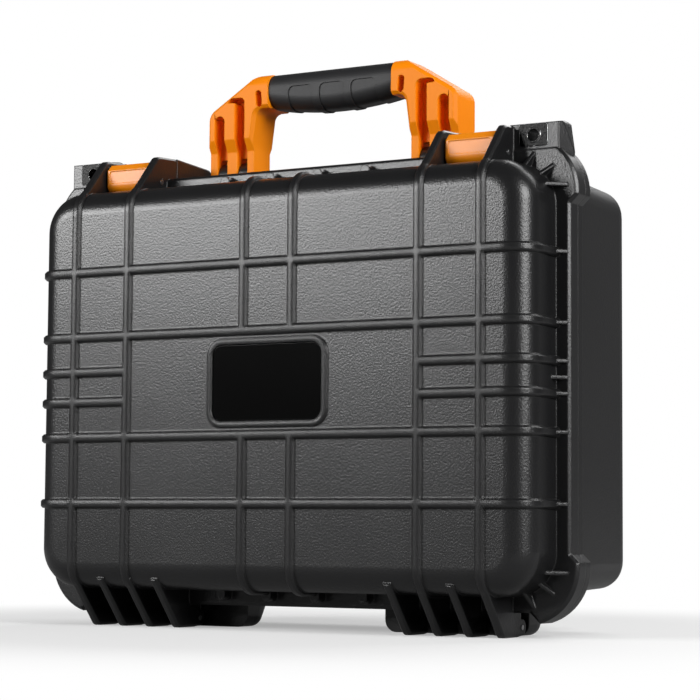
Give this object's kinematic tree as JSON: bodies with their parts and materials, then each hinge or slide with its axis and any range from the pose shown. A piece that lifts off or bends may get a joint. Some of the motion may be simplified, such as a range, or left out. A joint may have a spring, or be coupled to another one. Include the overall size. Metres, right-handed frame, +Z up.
{
  "type": "protective case",
  "caption": "Hard protective case with a ribbed lid hinged along its lower edge, lift latches, a folding handle, padlock tabs and a foam-lined inside.",
  "frame": {"origin": "on the floor under the middle of the bounding box of the closed, standing case", "axes": "+Z up, +X to the right as seen from the front, -Y out of the ribbed lid; the base lies towards +Y"},
  "size_m": [0.4046, 0.177, 0.384],
  "materials": {
    "shell": "fine moulded texture",
    "orange": "satin moulded",
    "grip": "matt",
    "label": "polished",
    "steel": "plain",
    "foam": "open-cell foam",
    "seal": "soft"
  },
  "bodies": {
    "base": {"base_shell": "shell", "base_foam_block": "foam", "base_foam_layer": "foam", "base_foam_sheet": "foam", "valve_body": "shell", "valve_seal": "seal", "hinge_pin_left": "steel", "handle_pin_left": "steel", "base_lock_plate_left": "steel", "hinge_pin_right": "steel", "handle_pin_right": "steel", "base_lock_plate_right": "steel"},
    "lid": {"lid_shell": "shell", "lid_seal": "seal", "label_plate": "label", "lid_foam_sheet": "foam", "latch_pin_left": "steel", "lid_lock_plate_left": "steel", "latch_pin_right": "steel", "lid_lock_plate_right": "steel"},
    "handle": {"handle_frame": "orange", "handle_grip": "grip"},
    "latch_left": {"latch_left": "orange"},
    "latch_right": {"latch_right": "orange"}
  },
  "joints": [
    {"name": "lid_hinge", "type": "hinge", "parent": "base", "child": "lid", "pos_m": [0, -0.0315, 0.006], "axis": [1, 0, 0], "range_deg": [0, 105]},
    {"name": "latch_left_hinge", "type": "hinge", "parent": "lid", "child": "latch_left", "pos_m": [-0.13275, -0.0521, 0.3054], "axis": [1, 0, 0], "range_deg": [0, 85]},
    {"name": "latch_right_hinge", "type": "hinge", "parent": "lid", "child": "latch_right", "pos_m": [0.13275, -0.0521, 0.3054], "axis": [1, 0, 0], "range_deg": [0, 85]},
    {"name": "handle_fold", "type": "hinge", "parent": "base", "child": "handle", "pos_m": [0, 0.0055, 0.315], "axis": [1, 0, 0], "range_deg": [-88, 70]}
  ]
}
